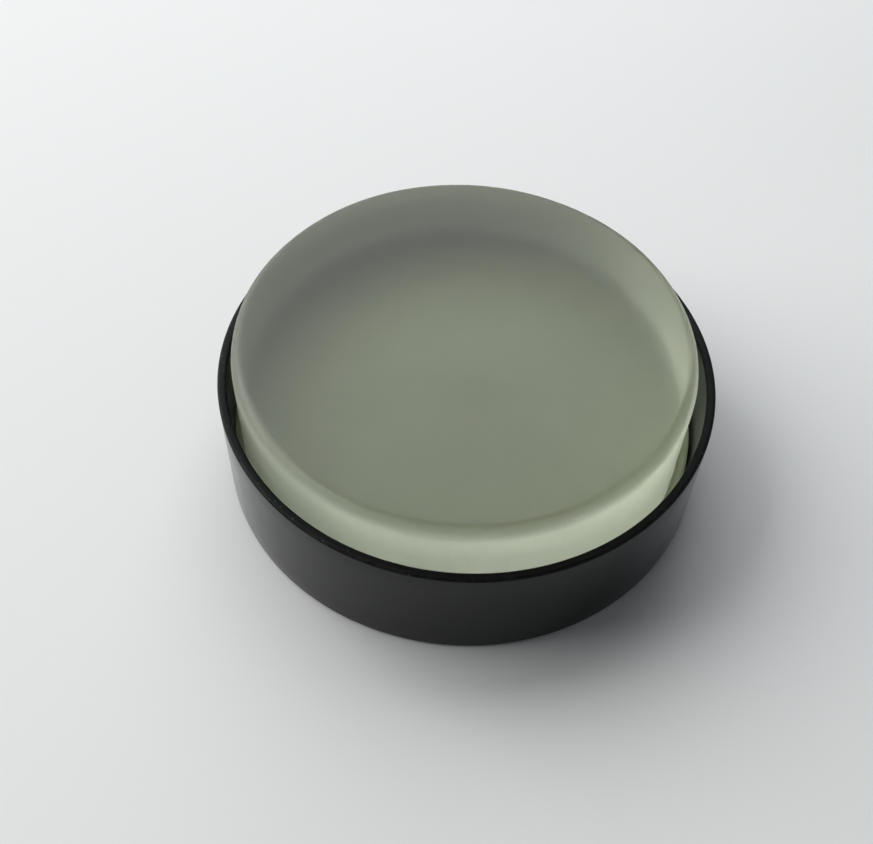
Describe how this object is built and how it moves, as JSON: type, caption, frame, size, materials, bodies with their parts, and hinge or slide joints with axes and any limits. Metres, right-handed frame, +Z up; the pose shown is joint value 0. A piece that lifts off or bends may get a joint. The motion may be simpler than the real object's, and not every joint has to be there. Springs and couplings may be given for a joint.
{
  "type": "survey prism glass in cap",
  "caption": "Thick ground-glass survey disc standing proud of a shallow glossy cap, centred by a pale rubber ring and bedded on a felt pad.",
  "frame": {"origin": "centre of the cap's flat underside", "axes": "+Z up along the axis of the cap, out of the glass's top face; the loose ring and pad lie 0.2 mm and the glass 0.45 mm towards -X"},
  "size_m": [0.068, 0.068, 0.0231],
  "materials": {
    "cap_gloss": "moulded black, glossy, fine handling scratches",
    "pad_felt": "pale pressed wool felt",
    "ring_rubber": "pale milky silicone rubber, satin",
    "ground_glass": "fine ground all over, grey-green, translucent"
  },
  "bodies": {
    "cap": {"cap_shell": "cap_gloss"},
    "pad": {"seat_pad": "pad_felt"},
    "ring": {"centring_ring": "ring_rubber"},
    "glass": {"prism_glass": "ground_glass"}
  },
  "joints": [
    {"name": "pad_turn", "type": "hinge", "parent": "cap", "child": "pad", "pos_m": [-0.0002, 0, 0.0015], "axis": [0, 0, 1], "continuous": true},
    {"name": "ring_lift", "type": "slide", "parent": "pad", "child": "ring", "axis": [0, 0, 1], "range_m": [0, 0.018]},
    {"name": "glass_lift", "type": "slide", "parent": "ring", "child": "glass", "axis": [0, 0, 1], "range_m": [0, 0.02]}
  ]
}
